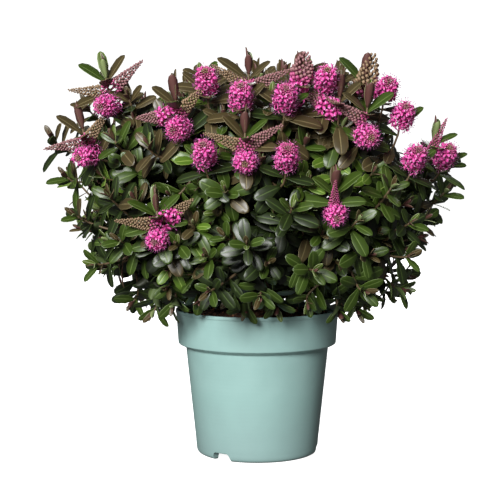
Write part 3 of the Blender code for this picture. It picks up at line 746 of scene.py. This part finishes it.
# Where a leading shoot's ball points, in millimetres from its tip
BALL_AIMS = {"F": (0, -18, -54), "f": (0, -22, -15)}
BALL = 0.6  # a spike that is open past this share is a ball

spikes = []
for number, letters in enumerate(spikes_wanted):
    for letter in letters.replace("g", ""):
        back, quarter, lean, share, length, stout = SPIKE_KINDS[letter]
        place, direction, _ = nodes_along(number, np.array([back * mm]))
        out_way = square_to(direction, number, np.array([quarter]))[0] if quarter else facing[number]
        lean = math.radians(lean + rng.uniform(-1, 1) * (4 if number < leaders else 9))
        way = direction[0] * math.cos(lean) + out_way * math.sin(lean) + rng.uniform(-0.1, 0.1, 3)
        if letter in BALL_AIMS and number < leaders:
            way = unit(tips[number] + np.array(BALL_AIMS[letter]) * mm - place[0])
        share = np.clip(share + rng.uniform(-0.06, 0.06), 0, 1)
        spikes.append((*place[0], *way, share, length * mm * rng.uniform(0.92, 1.08), stout, number))
spikes = np.array(spikes)
stand, axis = spikes[:, :3], unit(spikes[:, 3:6])
opened, spike_length, stout, bearer = spikes[:, 6:].T

middle = stand + axis * (0.36 * spike_length)[:, None]
end = stand + axis * spike_length[:, None]
inside = np.all((end > lowest - 9 * mm) & (end < highest + 4 * mm), 1)
kept = []
for number in np.lexsort([opened < BALL, bearer >= leaders]):
    room = 16 * mm if bearer[number] < leaders else 23 * mm
    if inside[number] and all(norm(middle[number] - middle[other]) > room for other in kept):
        kept.append(number)
stand, axis, opened, spike_length, stout = (
    values[kept] for values in (stand, axis, opened, spike_length, stout))
axis_side = unit(np.cross(axis, np.where(np.abs(axis[:, 2:]) > 0.9, [[1.0, 0, 0]], [[0, 0, 1.0]])))
axis_front = np.cross(axis, axis_side)
print(len(stand), "flower spikes")


def numbered(counts):
    """For each flower or bud on the spikes, the number of its spike and its own number there, from below."""
    spike = np.repeat(np.arange(len(counts)), counts)
    return spike, np.arange(len(spike)) - np.repeat(np.cumsum(counts) - counts, counts)


def on_the_spikes(spike, order, tilt, height):
    """The root, radial, lean and level direction of each flower, a golden angle on from the one below it."""
    turn, tilt = (order * GOLDEN_ANGLE + spike * 1.7)[:, None], np.radians(tilt)[:, None]
    radial = axis_side[spike] * np.cos(turn) + axis_front[spike] * np.sin(turn)
    way = unit(radial * np.cos(tilt) + axis[spike] * np.sin(tilt))
    root = stand[spike] + axis[spike] * (spike_length[spike] * height)[:, None]
    return root, radial, way, unit(np.cross(axis[spike], way))


# %% [markdown]
# An open hebe flower is a slim crimson tube that ends in four rounded pink petals, with two long stamens. The
# lowest flowers of a spike hang back and the upper ones stand forward, which makes the ball round.

# %% Open flowers
FLOWERS = 38
open_count = np.maximum(np.round(FLOWERS * (opened - 0.12) / 0.6), 0).astype(int)
spike, order = numbered(np.minimum(open_count, FLOWERS))
share = (order + 0.5) / open_count[spike]
tilt = -30 + 74 * share + rng.uniform(-8, 8, len(share))
flower_root, _, flower_way, across = on_the_spikes(spike, order, tilt, 0.12 + (opened[spike] - 0.12) * share)
tube_length = (9.8 * mm - 2.4 * mm * share) * rng.uniform(0.88, 1.08, len(share))
throat = flower_root + flower_way * tube_length[:, None]
other = np.cross(flower_way, across)

petal_pink, pale_pink, crimson, anther = (new_surface(name, code, roughness) for name, code, roughness in (
    ("petal_rose_pink", "#DA4C9E", 0.5), ("petal_pale_tip", "#EB98CB", 0.5),
    ("flower_tube_crimson", "#AE3274", 0.5), ("anther_purple", "#7B2F6B", 0.6)))

turn = (rng.uniform(0, math.pi / 2, len(share)) + np.arange(4)[:, None] * math.pi / 2)[..., None]
petal_way = unit(across * np.cos(turn) + other * np.sin(turn) + 0.30 * flower_way)
petal_across = unit(np.cross(flower_way, petal_way)).reshape(-1, 3)
size = rng.uniform(0.85, 1.15, 4 * len(share)) * mm
many_of("petals", *spindles(
    np.tile(throat - flower_way * 0.4 * mm, (4, 1)), petal_way.reshape(-1, 3), petal_across,
    5.3 * size, 2.0 * size, 0.4 * size, ((0.42, 0.9), (0.80, 0.85)), 4), [petal_pink, pale_pink], (0, 0, 1))

many_of("flower_tubes", *spindles(
    flower_root, flower_way, across, tube_length, 1.15 * mm, 1.15 * mm, ((0.25, 0.55), (0.92, 1.0)), 4),
    [crimson])

stamen_way = np.concatenate([unit(flower_way + 0.28 * side * across + 0.1 * other) for side in (-1, 1)])
many_of("stamens", *spindles(
    np.tile(throat, (2, 1)), stamen_way, np.tile(across, (2, 1)), 5.2 * mm, 0.45 * mm, 0.45 * mm,
    ((0.72, 0.4), (0.88, 1.0)), 3), [pale_pink, anther], (1, 0, 1))

# %% [markdown]
# Above the open flowers, closed buds overlap like scales, smaller and closer together towards the tip. Their
# colour tells their age: rose just before they open, mauve on one spike and olive on the next before that.

# %% Buds and stalks
bud_count = np.round(16 + 114 * (1 - opened)).astype(int)
spike, order = numbered(bud_count)
share = 1 - (1 - (order + 0.5) / bud_count[spike]) ** 0.65
stoutness = stout[spike]
height = opened[spike] + (0.95 - opened[spike]) * share
bud_root, radial, bud_way, across = on_the_spikes(spike, order, 30 + 42 * share, height)
core = 4.3 * stoutness * (1 - share ** (1 + 2 * (stoutness > 1))) + 0.3
size = stoutness**0.9 * spike_length[spike] / (45 * mm) * mm
bud_length = (4.4 - 2.2 * share) * size * rng.uniform(0.85, 1.15, len(share))
bud_width = (1.35 - 0.55 * share) * size
points, faces = spindles(bud_root + radial * (core * mm)[:, None], bud_way, across, bud_length, bud_width,
                         bud_width, ((0.35, 0.85), (0.75, 1.0)), 4)
tone = np.where(np.sin(spike * 2.3) > 0.25, 1, 0)
tone[(share < np.where(opened[spike] > BALL, 0.6, 0.15)) | (stoutness < 1)] = 2
for number, (name, code, roughness) in enumerate((
        ("mauve", "#94696B", 0.55), ("olive", "#8D755A", 0.55), ("rose", "#B0507C", 0.5))):
    many_of(f"buds_{name}", points[tone == number], faces, [new_surface(f"bud_{name}", code, roughness)])

stalks = spindles(stand, axis, axis_side, spike_length * 0.96, 1.2 * mm, 1.2 * mm,
                  ((0.02, 1), (0.5, 0.9), (0.9, 0.5)), 6)
many_of("spike_stalks", *stalks, [new_surface("spike_stalk", "#6E5A45", 0.6)])

# %% [markdown]
# ## Leaves
#
# A hebe leaf is a thick, glossy oval of about 30 mm, rounded at its end, with a fine pale edge and midrib and
# a dull, paler underside. The youngest pairs stand folded at the tip and are purple-brown outside. One grid
# gives all of them: along the leaf it follows an arc, across it a shallow V, and a second layer below closes
# it. The margin and the midrib are strips of faces of their own, so no leaf needs a pattern.

# %% Leaf shape
WIDEST = 0.58  # share of the leaf's length
LEAF_ROWS = np.array([0, 0.18, 0.46, 0.76, 0.93, 1.0])
LEAF_RING = np.array([1, 0.92, 0.07, -0.07, -0.92, -1, 0])
LEAF_TOP = np.array([0, 1, 1, 1, 1, 0, -1])


def leaf_outline(u):
    """Half the width along a leaf: a sine from the narrow foot to the widest place, then half an ellipse."""
    lower = 0.16 + 0.84 * np.sin(math.pi / 2 * np.clip(u / WIDEST, 0, 1)) ** 1.4
    upper = np.sqrt(np.clip(1 - ((u - WIDEST) / (1 - WIDEST)) ** 2, 0, 1)) ** 0.9
    return np.where(u < WIDEST, lower, np.maximum(upper, 0.12))


def leaf_grid(place, along, normal, length, width, bend, fold):
    """A leaf's points: an arc along it, a V across it, and two layers 0.5 mm apart that meet at the edge."""
    u, v = LEAF_ROWS[None, :, None], LEAF_RING[None, None, :]
    length, width, bend, fold = (values[:, None, None] for values in (length, width, bend, fold))
    half = 0.5 * width * leaf_outline(u)
    rise = half * fold * (np.abs(v) - 0.4 * v * v) + 0.25 * mm * LEAF_TOP
    turn = bend * u
    x = length * np.sin(turn) / bend + rise * np.sin(turn)
    z = -length * (1 - np.cos(turn)) / bend + rise * np.cos(turn)
    side = np.cross(normal, along)[:, None, None]
    grid = (place[:, None, None] + x[..., None] * along[:, None, None] + (half * v)[..., None] * side
            + z[..., None] * normal[:, None, None])
    ends = np.stack([grid[:, 0].mean(1), grid[:, -1].mean(1)], 1)
    return np.concatenate([grid.reshape(len(place), -1, 3), ends], 1)


# Columns 1 and 3 of the ring are the upper skin, 0 and 4 the margin, 2 the midrib, 5 and 6 the underside.
blade, foot, tip = closed_faces(len(LEAF_ROWS), len(LEAF_RING))
column = np.arange(len(blade)) % len(LEAF_RING)
leaf_faces = [blade[np.isin(column, (1, 3))], blade[np.isin(column, (0, 2, 4))], blade[column > 4], foot, tip]
UPPER, MARGIN, UNDERSIDE = 0, 1, 2
leaf_materials = (UPPER, MARGIN, UNDERSIDE, UNDERSIDE, MARGIN)

# %% [markdown]
# A table gives the lean, size and age of each pair, by its distance from the shoot's end. The blades turn a
# little to the light, as real ones do. A leaf is left out where it would leave the box, stand in the pot,
# hide a spike or a place of sky, or lie in another leaf.

# %% Place the leaves
# Each row: millimetres back from the end, lean in degrees, length in millimetres, bend, fold, age (0: young).
# FLOWERY is for shoots with spikes.
LEAFY = np.array([
    (0.5, 8, 13, -0.2, 0.6, 0), (2, 24, 17, 0.15, 0.5, 0), (5, 42, 23, 0.25, 0.4, 1),
    (9.5, 56, 27, 0.35, 0.3, 2), (15, 66, 29, 0.4, 0.25, 2), (22, 74, 29, 0.4, 0.25, 2),
    (30, 80, 29, 0.45, 0.25, 2), (39, 84, 29, 0.45, 0.25, 3), (50, 86, 29, 0.45, 0.25, 3),
    (63, 88, 29, 0.45, 0.25, 3), (79, 88, 29, 0.45, 0.25, 3),
])
FLOWERY = np.array([
    (0.5, 9, 25, -0.1, 0.6, 0), (2.5, 18, 26, -0.06, 0.6, 0), (6, 46, 31, 0.2, 0.4, 1),
    (10, 64, 32, 0.3, 0.3, 1), (15, 80, 32, 0.35, 0.3, 2), (27, 88, 32, 0.4, 0.25, 2),
    (36, 86, 32, 0.4, 0.25, 2), (45, 86, 31, 0.45, 0.25, 2), (55, 88, 31, 0.45, 0.25, 3),
    (67, 88, 30, 0.45, 0.25, 3), (82, 88, 30, 0.45, 0.25, 3),
])
rows = []
for number in range(shoot_count):
    table = FLOWERY if spikes_wanted[number] else LEAFY
    place, direction, alive = nodes_along(number, table[:, 0] * mm)
    for pair in np.flatnonzero(alive):
        for side in (0, 2):
            out_way = square_to(direction[pair], number, side + (pair + 1) % 2 + rng.uniform(-0.14, 0.14))
            rows.append((*place[pair], *direction[pair], *out_way, *table[pair, 1:], number))
rows = np.array(rows)
place, direction, out_way = rows[:, :3], rows[:, 3:6], rows[:, 6:9]
table_lean, length, bend, fold = rows[:, 9:13].T
age, shoot = rows[:, 13:].T.astype(int)

lean = np.radians(table_lean + rng.uniform(-8, 8, len(rows)))[:, None]
vigour = np.clip(0.94 + (place[:, 2] - 0.22) * 0.6, 0.92, 1.02)
length = length * mm * rng.uniform(0.82, 1.14, len(rows)) * vigour
crested = np.array([letters == "f" for letters in spikes_wanted])[shoot]
length *= np.where(crested & (age == 0), 0.55, 1.0)
bend = bend * rng.uniform(0.5, 1.4, len(rows))
along = direction * np.cos(lean) + out_way * np.sin(lean)
normal = direction * np.sin(lean) - out_way * np.cos(lean)
on_leading = (shoot < leaders)[:, None]
to_light = unit(place * (1, 1, 0)) * np.where(on_leading, 0.3, 0.9)
to_light = unit(to_light + np.where(on_leading, (0, -0.9, 0.5), (0, -0.45, 0.5)))
to_light -= (to_light * along).sum(-1, keepdims=True) * along
normal = unit(normal + np.where(age > 0, 0.9, 0.0)[:, None] * to_light)
width = length * rng.uniform(0.39, 0.47, len(rows)) * np.where(age == 0, 0.8, 1.0)

halfway = place + along * (0.55 * length)[:, None]
far_end = (place + along * (length * np.sin(bend) / bend)[:, None]
           - normal * (length * (1 - np.cos(bend)) / bend)[:, None])
keep = np.all((far_end > lowest - 2 * mm) & (far_end < highest + 2 * mm), 1)
for spot in (halfway, far_end):
    in_pot = (norm(spot[:, :2]) < 91 * mm) & (spot[:, 2] < POT_HEIGHT + 3 * mm)
    to_spot = spot[:, None] - stand[None]
    share = np.clip((to_spot * axis[None]).sum(-1) / spike_length, 0.16, np.where(opened > BALL, 1.9, 0.75))
    gap = norm(to_spot - axis[None] * (share * spike_length)[..., None])
    room = np.where(opened > BALL, 11 * mm, 6.5 * mm)[None] * np.where(age == 0, 0.6, 1.0)[:, None]
    keep &= ~in_the_sky(spot) & ~in_pot & (gap > room).all(1)
for number in np.flatnonzero(keep):
    near = norm(halfway[number + 1 :] - halfway[number]) < 5.5 * mm
    keep[number + 1 :] &= ~(near & (shoot[number + 1 :] != shoot[number]))
print(len(rows), "leaves planned,", keep.sum(), "kept")

# %% [markdown]
# The upper skin of the leaf is waxy, so it gets a fairly low roughness and a thin clear coat. The underside
# has neither. Most leaves are a deep bottle green, some shoots are a fresher yellow-green, and the sun has
# turned many of the upper leaves bronze. The old leaves deep in the crown are nearly black-green: painted
# shade. Each shoot or leaf gets one of these tints as plain values.

# %% Leaf finishes and pieces
TINTS = (  # name, upper skin, underside, margin
    ("young_purple", "#44381F", "#5A3833", "#77704F"), ("young_green", "#4C5E20", "#7D8C58", "#A9B486"),
    ("deep", "#1B2709", "#3E4A2A", "#3F5222"), ("bottle", "#31440F", "#4A5A2E", "#5B6F35"),
    # Painted shade: the sixth tint, nearly black, stands in for the shade deep in the crown.
    ("fresh", "#4E6A1E", "#6A7C3C", "#8BA04E"), ("painted_shade", "#121A07", "#25281A", "#1A230C"),
    ("bronze", "#40371F", "#573B32", "#6F6443"),
)
DEEP, BOTTLE, FRESH, PAINTED_SHADE, BRONZE = range(2, 7)
dealt = rng.choice((DEEP, BOTTLE, FRESH), shoot_count, p=(0.46, 0.42, 0.12))[shoot]
green_share = np.array([0.9 if "g" in letters else 0.1 if letters else 0.4
                        for letters in spikes_wanted])[shoot]
young = np.where(rng.random(len(rows)) < np.where(table_lean < 12, 0.1, green_share), 1, 0)
# The oldest leaves, deep in the crown, get the near-black tint: painted shade.
tint = np.select([age == 0, age == 1, age == 2], [young, np.maximum(dealt, BOTTLE), dealt], PAINTED_SHADE)
bronzed = rng.random(len(rows)) < np.clip(0.11 + (place[:, 2] - 0.29) * 9, 0.10, 0.74)
tint[bronzed & (place[:, 2] > 0.19) & ((age == 1) | (age == 2))] = BRONZE
for number, (name, upper, under, margin) in enumerate(TINTS):
    surfaces = [
        new_surface(f"leaf_{name}_upper", upper, 0.43, Coat_Weight=0.05, Coat_Roughness=0.3),
        new_surface(f"leaf_{name}_margin", margin, 0.5),
        new_surface(f"leaf_{name}_underside", under, 0.6),
    ]
    some = keep & (tint == number)
    points = leaf_grid(*(values[some] for values in (place, along, normal, length, width, bend, fold)))
    many_of(f"leaves_{name}", points, leaf_faces, surfaces, leaf_materials)

# %% [markdown]
# ## Stage, light and camera
#
# The photograph is a studio cut-out on white. A floor of pale paper that curves up all round gives the same
# plain ground from every side. It glows evenly, so that no horizon shows, and it neither lights the plant nor
# mirrors in it, which keeps the depth of the leaves dark.

# %% Stage
angle = full_turn(96)
bend = np.linspace(0, math.pi / 2, 16)
sweep_r = np.concatenate([np.linspace(0.05, 3.4, 24), 3.5 + 1.5 * np.sin(bend), np.full(8, 5.0)])
sweep_z = np.concatenate([np.zeros(24), 1.5 * (1 - np.cos(bend)), np.linspace(1.7, 6, 8)])
sweep = polar(sweep_r[:, None], angle, sweep_z[:, None]).reshape(-1, 3)
paper = new_surface("white_paper", "#DADADA", 0.9, Emission_Color=(1, 1, 1, 1), Emission_Strength=0.95)
walls, middle, _ = closed_faces(len(sweep_r), len(angle))
stage = new_object("studio_sweep", np.vstack([sweep, (0, 0, 0)]), [walls[:, ::-1], middle[:, ::-1]], [paper])
stage.visible_diffuse = stage.visible_glossy = False

# %% [markdown]
# One soft light stands at the front left, and a broader, weaker one high behind on the right catches the far
# leaves. A faint even light fills the rest. The camera's place, tilt and lens were worked out from the pot's
# known sizes: it stands 1.4 m in front and looks 4 degrees down. The plain Standard view keeps the pot's own
# colour as it was chosen.

# %% Lights and camera
KEY_WATTS, REAR_WATTS, SKY_STRENGTH = 101, 62, 0.11


def area_light(name, place, size, watts):
    """A square light that looks at the middle of the plant."""
    lamp = bpy.data.lights.new(name, "AREA")
    lamp.size, lamp.energy = size, watts
    light = bpy.data.objects.new(name, lamp)
    light.location = place
    way = unit(np.array((0, 0, 0.22)) - np.array(place))
    light.rotation_euler = (math.acos(-way[2]), 0, math.atan2(-way[0], way[1]))
    scene.collection.objects.link(light)


area_light("key_light", (-0.74, -2.2, 1.1), 0.8, KEY_WATTS)
area_light("rear_fill", (0.4, 2.4, 1.5), 1.6, REAR_WATTS)
world = bpy.data.worlds.new("studio")
world.use_nodes = True
feed(world.node_tree.nodes["Background"], {"Color": (1, 1, 1, 1), "Strength": SKY_STRENGTH})
scene.world = world
scene.view_settings.view_transform = "Standard"

lens = bpy.data.cameras.new("photo_view")
lens.lens, lens.sensor_width = 96.75, 36
camera = bpy.data.objects.new("photo_view", lens)
camera.location = EYE
camera.rotation_euler = (math.radians(90 - 4.07), 0, 0)
scene.collection.objects.link(camera)
scene.camera = camera
print("key light", KEY_WATTS, "W, rear light", REAR_WATTS, "W, lens", lens.lens, "mm")
